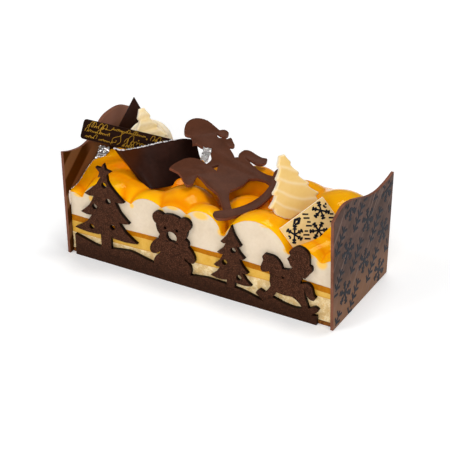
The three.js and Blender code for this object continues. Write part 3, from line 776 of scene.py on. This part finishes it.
sheet = dict(
    foot=[(-77.5, -15.5, 70.3), (-68.5, -24, 69), (-59, -28, 70), (-52, -25, 71), (-47, -14, 69),
          (-42, -2, 68.5), (-37, 11, 71), (-34, 21, 76)],
    rim=[(-96, -23.7, 97), (-88, -23.6, 97), (-79.8, -15, 97.3), (-73, -5.5, 97.6), (-67, 3, 98),
         (-60, 12.3, 98.2), (-53.5, 20.3, 98.3), (-45, 28.5, 96)],
    thick=1.6, columns=56, rows=16, belly=-1.2, bellyWay=(0.3, 0.6, 0),
    # painted reflection: browner where it curls to the left; painted shade: nearly black towards the right
    warm=(-82, -68, 0.85, 0.0), reflectionTone=(0.048, 0.011, 0.002),
    shadedRight=(-62, -46, 0.0, 0.75), shadeTone=(0.008, 0.003, 0.002),
)
pearls = dict(
    look=dict(dark=(0.55, 0.53, 0.55), light=(0.86, 0.84, 0.84), blotch=400.0,
              rough=0.3, metal=0.25),
    count=48, rimShare=0.78, scatter=((-0.5, 0.1), (0, 0.8), (-0.1, 0.45)), size=0.9, sizes=(0.45, 1.1),
    flatness=0.8,
)


def sheetLine(name):
    return smoothCurve([Vector(point) for point in sheet[name]], sheet["columns"] + 1)


def buildSheet():
    material, tree, shader, color = newMaterial("SheetChocolate", darkLook)
    axes = axesOf(tree)
    # painted reflection browns the left part, painted shade darkens the right
    reflectedLeft = blend(tree, ramp(tree, axes["X"], *sheet["warm"]), color, sheet["reflectionTone"])
    recolor(tree, shader, blend(tree, ramp(tree, axes["X"], *sheet["shadedRight"]), reflectedLeft, sheet["shadeTone"]))
    foot, rim = sheetLine("foot"), sheetLine("rim")
    shape = bmesh.new()
    bmesh.ops.create_grid(shape, x_segments=sheet["columns"], y_segments=sheet["rows"], size=0.5)
    for vert in shape.verts:
        i = round((vert.co.x + 0.5) * sheet["columns"])
        share = vert.co.y + 0.5
        belly = sheet["belly"] * math.sin(math.pi * share)
        vert.co = (foot[i].lerp(rim[i], share) + Vector(sheet["bellyWay"]) * belly) * mm
    shape.normal_update()
    bmesh.ops.solidify(shape, geom=shape.faces[:], thickness=sheet["thick"] * mm)
    turnOutwards(shape)
    finishPiece(shape, "CurledSheet", [material], ("curled_sheet",), 40)


def buildPearls():
    # a row of small uneven pearls along the sheet's rim
    rim = sheetLine("rim")
    beads = bmesh.new()
    for i in range(pearls["count"]):
        k = i / pearls["count"] * pearls["rimShare"] * sheet["columns"]
        spot = rim[int(k)].lerp(rim[int(k) + 1], k - int(k))
        spot += Vector([random.uniform(*reach) for reach in pearls["scatter"]])
        size = pearls["size"] * random.uniform(*pearls["sizes"]) * mm
        turn = Matrix.Translation(spot * mm) @ Matrix.Diagonal((size, size, size * pearls["flatness"], 1))
        bmesh.ops.create_icosphere(beads, subdivisions=2, radius=1, matrix=turn)
    finishPiece(beads, "SugarPearls", [newMaterial("SugarPearls", pearls["look"])[0]])


buildPlate("PrintedBar", bar, newMaterial("BarChocolate", bar["look"])[0])
buildFlourishes()
buildSheet()
buildPearls()
buildPlate("DarkShard", shard, newMaterial("DarkChocolate", darkLook)[0])
print("bar, curled sheet and shard done")


white = dict(
    look=dict(dark=(0.78, 0.59, 0.29), light=(0.88, 0.74, 0.47), blotch=55.0, contrast=0.9,
              grain=(300.0, 0.08, 0.0002), rough=0.30, shine=0.22, more=softLight),
    warm=(0.80, 0.49, 0.10), ridge=(0.95, 0.86, 0.68), across=(0.63, 0.77, 0.14), facing=(0.68, -0.62, 0.39),
)
firs = {
    "white_fir_right": dict(title="WhiteFirRight", foot=(77.9, -16.8, 76), ridge=0.12, pitch=12, slant=0.6,
                            tint=0.7, smoothing=3, sharpness=6, evened=0.9),
    "white_fir_left": dict(title="WhiteFirLeft", foot=(-76.9, 14.3, 71.6), ridge=0.3, pitch=8.5, slant=0.05,
                           tint=0.15, smoothing=1, sharpness=2.5, evened=0),
}
# how the firs' streaks bow and drift, the slope of an evened face, how pale the streaks are, and the painted
# highlight on the rims
relief = dict(cell=0.55, bow=0.012, drift=1.6, driftOften=0.09, swirl=0.15, swirlOften=0.12,
              level=2.4, slope=0.046, outline=0.7, streakTone=0.3, rimHighlightTone=0.95, rimHighlightSpread=1.05)


def whiteMaterial(name, tint):
    # paler ridges and a painted highlight on the rims over a warmer, marbled ground; on the bauble, painted
    # shade in the flute grooves
    material, tree, shader, color = newMaterial(name, white["look"])
    warm = blend(tree, tint, color, white["warm"])
    recolor(tree, shader, blend(tree, attributeOf(tree, "ridge"), warm, white["ridge"]))
    return material


def buildFir(nodeName):
    fir = firs[nodeName]
    shape = remeshed(solidCopy(nodeName), relief["cell"])
    for _ in range(fir["smoothing"]):
        bmesh.ops.smooth_vert(shape, verts=shape.verts, factor=0.5, use_axis_x=True, use_axis_y=True,
                              use_axis_z=True)
    place = frameOf(fir["foot"], white["across"], white["facing"])
    back = place.inverted()
    facing = place.to_3x3().col[2].normalized()
    shape.normal_update()
    paleLayer = shape.verts.layers.float.new("ridge")
    for vert in shape.verts:
        a, b, c = (back @ vert.co) / mm
        flat = max(0.0, vert.normal.dot(facing))
        drift = relief["drift"] * noise.noise(Vector((a, b, 4)) * relief["driftOften"])
        sweep = b + fir["slant"] * a - relief["bow"] * a * a + drift
        wave = (0.5 + 0.5 * math.sin(2 * math.pi * sweep / fir["pitch"])) ** fir["sharpness"]
        swirl = relief["swirl"] * noise.noise(Vector((a, b, 9)) * relief["swirlOften"])
        # the steps between the skirts are evened out to one slope, but not the rounded outline
        level = relief["level"] - relief["slope"] * b
        near = min(1.0, max(0.0, 1 - 2 * (level - relief["outline"] - c)))
        evening = fir["evened"] * near * (level - c)
        vert.co += facing * flat * (evening + fir["ridge"] * wave + swirl) * mm
        # a painted highlight on the rounded rims and on faces turned away from the front
        rim = relief["rimHighlightTone"] * max(0.0, 1 - relief["rimHighlightSpread"] * flat)
        vert[paleLayer] = min(1.0, relief["streakTone"] * wave * flat + rim)
    finishPiece(shape, fir["title"], [whiteMaterial(fir["title"], fir["tint"])],
                (nodeName,), 70)


bauble = dict(centre=(-91.2, 25.2, 82.6), radius=21.7, flutes=20, flatness=0.27, lowest=-30, highest=90,
              rings=26, facesInFlute=8, foldDepth=0.11, foldPower=0.7, grooveShade=0.95)


def buildBauble():
    # a profile from the foot up to the pole, spun round, then pressed in to flutes and flattened
    shape = bmesh.new()
    last = shape.verts.new((0, 0, bauble["radius"] * math.sin(math.radians(bauble["lowest"])) * mm))
    for i in range(bauble["rings"] + 1):
        share = i / bauble["rings"]
        angle = math.radians(bauble["lowest"] + (bauble["highest"] - bauble["lowest"]) * share)
        out = bauble["radius"] * math.cos(angle) if share < 1 else 0.0
        point = shape.verts.new(Vector((out, 0, bauble["radius"] * math.sin(angle))) * mm)
        shape.edges.new((last, point))
        last = point
    bmesh.ops.spin(shape, geom=shape.verts[:] + shape.edges[:], cent=(0, 0, 0), axis=(0, 0, 1),
                   angle=2 * math.pi, steps=bauble["flutes"] * bauble["facesInFlute"], use_merge=True)
    bmesh.ops.remove_doubles(shape, verts=shape.verts, dist=0.003 * mm)
    paleLayer = shape.verts.layers.float.new("ridge")
    place = frameOf(bauble["centre"], white["across"], white["facing"])
    for vert in shape.verts:
        x, y, z = vert.co
        fold = abs(math.cos(bauble["flutes"] / 2 * math.atan2(y, x))) ** bauble["foldPower"]
        reach = 1 - bauble["foldDepth"] * fold
        # painted shade in the flute grooves; the pale colour between them is partly the bauble's own and
        # partly painted light against the fir's shade
        vert[paleLayer] = 1 - bauble["grooveShade"] * fold ** 3
        # the turned axis stands upright in the plate's own frame, whose third axis points forwards
        vert.co = place @ Vector((x * reach, z, -y * reach * bauble["flatness"]))
    turnOutwards(shape)
    finishPiece(shape, "WhiteBauble", [whiteMaterial("BaubleChocolate", 0.0)],
                ("white_bauble",), 70)


# the print's marks are x, y and turn, from the square's upper left corner
square = dict(
    face=dict(dark=(0.71, 0.47, 0.18), light=(0.82, 0.60, 0.28), blotch=50.0, contrast=0.8,
              rough=0.4, shine=0.15),
    edge=dict(dark=(0.92, 0.82, 0.62), light=(0.97, 0.92, 0.80), blotch=90.0, rough=0.35),
    origin=(75.5, -44.6, 75), across=(0.55, 0.66, 0.51), facing=(0.54, -0.75, 0.39),
    wide=43, high=38, thick=2.4, edgeWidth=0.45,
    flakes=[(35.5, -8, 0.2), (24.5, -20, 0.5), (7, -11, 0.9)], flakeReach=7.4,
    dashRows=[(22.5, -6, 1.25), (13.5, -20, 1.25), (38, -21, 1.25)], dashRow=13, dashes=5, dashTall=4.6,
    lozenges=[(14.5, -3.6, 0.2)], lozenge=(4.2, 2.4), strokeWidth=0.72, margin=0.6, lowest=-30,
)
# rows of snowflakes with sprigs halfway between them, along the print's slope
frost = dict(pitch=62, rowPitch=20, rows=range(-6, 7), columns=range(-1, 4), flakeReach=10.8, flakeTurn=0.4,
             flakeLimit=(3, 8), sprig=31, pairs=5, twig=5.2, sprigLimit=(9, -7), strokeWidth=1.25,
             lift=0.35, margin=1.2, crestMargin=1.5)
inkLook = dict(dark=(0.006, 0.006, 0.009), light=(0.012, 0.013, 0.020), blotch=80.0,
               rough=0.4, shine=0.06)
flake = dict(arms=6, twigsAt=(0.5, 0.78), twig=0.26, twigLean=0.9)


def snowflake(x, y, reach, turn):
    # arms with side twigs, as separate strokes
    paths = []
    for arm in range(flake["arms"]):
        a = turn + arm * 2 * math.pi / flake["arms"]
        paths.append([(x, y), turned(x, y, reach, 0, a)])
        for share in flake["twigsAt"]:
            mid = turned(x, y, share * reach, 0, a)
            for lean in (-flake["twigLean"], flake["twigLean"]):
                paths.append([mid, turned(*mid, flake["twig"] * reach, 0, a + lean)])
    return paths


def doubleLozenge(x, y, long, wide, turn):
    corners = [(long, 0), (0, wide), (-long, 0), (0, -wide), (long, 0)]
    return [[turned(x, y, share * u, share * v, turn) for u, v in corners] for share in (1.0, 0.58)]


def dashes(x, y, long, turn, count, tall, lean=0.35):
    # a row of slanted strokes, every third one shorter
    paths = []
    for i in range(count):
        u = long * (i / (count - 1) - 0.5)
        high = tall / 2 * (0.2 if i % 3 == 1 else 1)
        ends = ((u - lean * tall / 2, -tall / 2), (u + lean * high, high))
        paths.append([turned(x, y, p, q, turn) for p, q in ends])
    return paths


def sprig(x, y, long, turn, pairs, twig):
    # a fir sprig: one stem with pairs of needles pointing forwards
    paths = []
    for i in range(pairs):
        u = long * ((i + 0.3) / pairs - 0.5)
        stem = (u - 0.3 * long / pairs, u + 0.75 * long / pairs)
        paths.append([turned(x, y, end, 0, turn) for end in stem])
        for side in (-1, 1):
            paths.append([turned(x, y, u, 0, turn), turned(x, y, u + 0.7 * twig, side * twig, turn)])
    return paths


def inside(paths, keep):
    return [path for path in paths if all(keep(x, y) for x, y in path)]


def buildSquare():
    place = frameOf(square["origin"], square["across"], square["facing"])
    shape = bmesh.new()
    bmesh.ops.create_cube(shape, size=1)
    for vert in shape.verts:
        x, y, z = vert.co.x + 0.5, vert.co.y - 0.5, vert.co.z - 0.5
        vert.co = Vector((x * square["wide"], y * square["high"], z * square["thick"])) * mm
    for side in shape.faces:
        side.material_index = 0 if abs(side.normal.z) > 0.5 else 1
    softenEdges(shape, square["edgeWidth"])
    shape.transform(place)
    materials = [newMaterial("CreamFace", square["face"])[0], newMaterial("CreamEdge", square["edge"])[0]]
    finishPiece(shape, "CreamSquare", materials, ("cream_square",), 30)

    paths = []
    for x, y, turn in square["flakes"]:
        paths += snowflake(x, y, square["flakeReach"], turn)
    for x, y, turn in square["dashRows"]:
        paths += dashes(x, y, square["dashRow"], turn, square["dashes"], square["dashTall"])
    for x, y, turn in square["lozenges"]:
        paths += doubleLozenge(x, y, *square["lozenge"], turn)

    def onSquare(x, y):
        margin = square["margin"]
        return margin < x < square["wide"] - margin and square["lowest"] < y < -margin

    strokes = strokeMesh(inside(paths, onSquare), square["strokeWidth"], place)
    finishPiece(strokes, "SquareInk", [newMaterial("SquareInk", inkLook)[0]])


def frostPaths():
    slope = math.radians(panel["printSlope"])
    half = frost["pitch"] / 2
    paths = []
    for row in frost["rows"]:
        for k in frost["columns"]:
            x, y = turned(0, 0, frost["pitch"] * k + half * (row % 2), frost["rowPitch"] * row, slope)
            sideways, lowest = frost["flakeLimit"]
            if abs(x) < panel["half"] + sideways and y > lowest:
                paths += snowflake(x, y, frost["flakeReach"], slope + frost["flakeTurn"] * row)
            x, y = turned(x, y, half, 0, slope)
            sideways, lowest = frost["sprigLimit"]
            if abs(x) < panel["half"] + sideways and y > lowest:
                paths += sprig(x, y, frost["sprig"], slope, frost["pairs"], frost["twig"])
    return paths


def buildPanelPrint(name, ink):
    # the frost pattern on the outside of a panel, following its lean
    crest = panelCrest(name)

    def onPanel(x, y):
        top = min(crest, key=lambda point: abs(point.x - x)).y
        return abs(x) < panel["half"] - frost["margin"] and frost["margin"] < y < top - frost["crestMargin"]

    strokes = strokeMesh(inside(frostPaths(), onPanel), frost["strokeWidth"], Matrix.Identity(4))
    for vert in strokes.verts:
        x, y, z = vert.co / mm
        vert.co = panelPlace(name, x, y, -frost["lift"] * z)
    finishPiece(strokes, panels[name]["printTitle"], [ink])


silver = dict(
    look=dict(dark=(0.55, 0.54, 0.53), light=(0.88, 0.87, 0.86), blotch=300.0,
              rough=0.28, metal=0.85),
    thick=0.12, crumple=1.1, coarse=7, fine=17, fineShare=0.5, torn=0.35, tornOften=1.3, faces=22,
    # one crumpled scrap on the left dome and one behind the horse
    scraps=[dict(centre=(-122.6, -3.5, 78.4), size=(9, 14), facing=(0.15, -0.55, 0.8), across=(1, 0.2, 0.0)),
            dict(centre=(-24, 9, 95), size=(7, 12), facing=(0.4, -0.7, 0.5), across=(0.8, 0.5, -0.3))],
)
# a thin crinkled edge of leaf where the glaze meets the left panel
seam = dict(x=-126.9, start=-8, long=39, columns=90, rows=3, glazeX=-126.4, lift=0.35, tilt=0.3,
            wide=0.3, wideMore=0.6, wideOften=0.5, crinkleOften=0.9, crinkleAside=0.35, crinkleUp=0.6)


def mergeInto(whole, part):
    mesh = bakedMesh(part, "part")
    whole.from_mesh(mesh)
    bpy.data.meshes.remove(mesh)


def buildScrap(n, scrap):
    part = bmesh.new()
    bmesh.ops.create_grid(part, x_segments=silver["faces"], y_segments=silver["faces"], size=0.5)
    for vert in part.verts:
        u, v = vert.co.x, vert.co.y
        torn = 1 + silver["torn"] * noise.noise(Vector((math.atan2(v, u) * silver["tornOften"], n * 5, 0)))
        coarse = noise.noise(Vector((u * silver["coarse"], v * silver["coarse"], n)))
        fine = noise.noise(Vector((u * silver["fine"], v * silver["fine"], n)))
        height = (coarse + silver["fineShare"] * fine) * silver["crumple"]
        vert.co = Vector((u * scrap["size"][0] * torn, v * scrap["size"][1] * torn, height)) * mm
    bmesh.ops.solidify(part, geom=part.faces[:], thickness=silver["thick"] * mm)
    part.transform(frameOf(scrap["centre"], scrap["across"], scrap["facing"]))
    return part


def buildSeam():
    part = bmesh.new()
    bmesh.ops.create_grid(part, x_segments=seam["columns"], y_segments=seam["rows"], size=0.5)
    for vert in part.verts:
        y = seam["start"] - (vert.co.x + 0.5) * seam["long"]
        crinkle = noise.noise(Vector((y * seam["crinkleOften"], vert.co.y, 2)))
        wide = seam["wide"] + seam["wideMore"] * noise.noise(Vector((y * seam["wideOften"], 5, 2)))
        x = seam["x"] + seam["crinkleAside"] * crinkle + (vert.co.y + 0.5) * wide
        lift = seam["lift"] + seam["crinkleUp"] * crinkle - seam["tilt"] * vert.co.y
        z = glazeHeight(seam["glazeX"], y) + lift
        vert.co = Vector((x, y, z)) * mm
    bmesh.ops.solidify(part, geom=part.faces[:], thickness=silver["thick"] * mm)
    return part


def buildSilverLeaf():
    shape = bmesh.new()
    for n, scrap in enumerate(silver["scraps"]):
        mergeInto(shape, buildScrap(n, scrap))
    mergeInto(shape, buildSeam())
    leaf = newMaterial("SilverLeaf", silver["look"])[0]
    finishPiece(shape, "SilverLeaf", [leaf], (), 25)


for firName in firs:
    buildFir(firName)
buildBauble()
buildSquare()
panelInk = newMaterial("PanelInk", inkLook)[0]
for panelName in panels:
    buildPanelPrint(panelName, panelInk)
buildSilverLeaf()
print("white chocolate, prints and silver leaf done")


studio = dict(floorTone=(0.93, 0.93, 0.93), floorHalf=3, glow=(0.25, 0.75, 0.20, 0.60), sky=0.15,
              aim=(0, 0, 0.05))
lamps = {
    "Key": dict(place=(-0.62, -0.84, 0.90), size=0.65, power=6.6, mirrored=True),
    "Front": dict(place=(0.42, -1.05, 0.66), size=0.5, power=5.0, mirrored=False),
    "Fill": dict(place=(1.1, -0.5, 0.55), size=0.6, power=4.0, mirrored=False),
    "Top": dict(place=(0.1, 0.35, 1.2), size=0.5, power=7.5, mirrored=True),
}


def buildFloor():
    material = bpy.data.materials.new("PaleFloor")
    material.use_nodes = True
    tree = material.node_tree
    shader = tree.nodes["Principled BSDF"]
    shader.inputs["Base Color"].default_value = (*studio["floorTone"], 1)
    shader.inputs["Roughness"].default_value = 0.8
    shader.inputs["Emission Color"].default_value = (1, 1, 1, 1)
    # it stays white far behind the cake, where less light falls
    away = addNode(tree, "ShaderNodeVectorMath", {0: placeOf(tree)}, operation="LENGTH").outputs["Value"]
    tree.links.new(ramp(tree, away, *studio["glow"]), shader.inputs["Emission Strength"])
    shape = bmesh.new()
    bmesh.ops.create_grid(shape, x_segments=1, y_segments=1, size=studio["floorHalf"])
    mesh = bakedMesh(shape, "Floor")
    mesh.materials.append(material)
    floor = bpy.data.objects.new("Floor", mesh)
    scene.collection.objects.link(floor)


def buildLamp(name, place, size, power, mirrored):
    data = bpy.data.lights.new(name, "AREA")
    data.shape = "SQUARE"
    data.size = size
    data.energy = power
    lamp = bpy.data.objects.new(name, data)
    lamp.location = place
    lamp.visible_glossy = mirrored
    lamp.rotation_euler = (Vector(studio["aim"]) - Vector(place)).to_track_quat("-Z", "Y").to_euler()
    scene.collection.objects.link(lamp)


def buildLight():
    world = bpy.data.worlds.new("Studio")
    world.use_nodes = True
    sky = world.node_tree.nodes["Background"]
    sky.inputs["Color"].default_value = (1, 1, 1, 1)
    sky.inputs["Strength"].default_value = studio["sky"]
    scene.world = world
    for name, lamp in lamps.items():
        buildLamp(name, **lamp)
    scene.view_settings.view_transform = "Standard"


view = dict(azimuth=29.81, elevation=28.74, roll=-0.21, distance=1158.24, target=(2.73, -5.06, 40),
            focal=1352.3, frameSide=450, sensor=36)


def buildCamera():
    data = bpy.data.cameras.new("Camera")
    data.sensor_width = view["sensor"]
    data.lens = view["sensor"] * view["focal"] / view["frameSide"]
    a, e = math.radians(view["azimuth"]), math.radians(view["elevation"])
    back = Vector((math.sin(a) * math.cos(e), -math.cos(a) * math.cos(e), math.sin(e)))
    camera = bpy.data.objects.new("Camera", data)
    camera.rotation_mode = "QUATERNION"
    level = (-back).to_track_quat("-Z", "Y").to_matrix()
    roll = Matrix.Rotation(math.radians(view["roll"]), 3, "Z")
    camera.rotation_quaternion = (level @ roll).to_quaternion()
    camera.location = (Vector(view["target"]) + back * view["distance"]) * mm
    scene.collection.objects.link(camera)
    scene.camera = camera


buildFloor()
buildLight()
buildCamera()
print("floor, light and camera done")
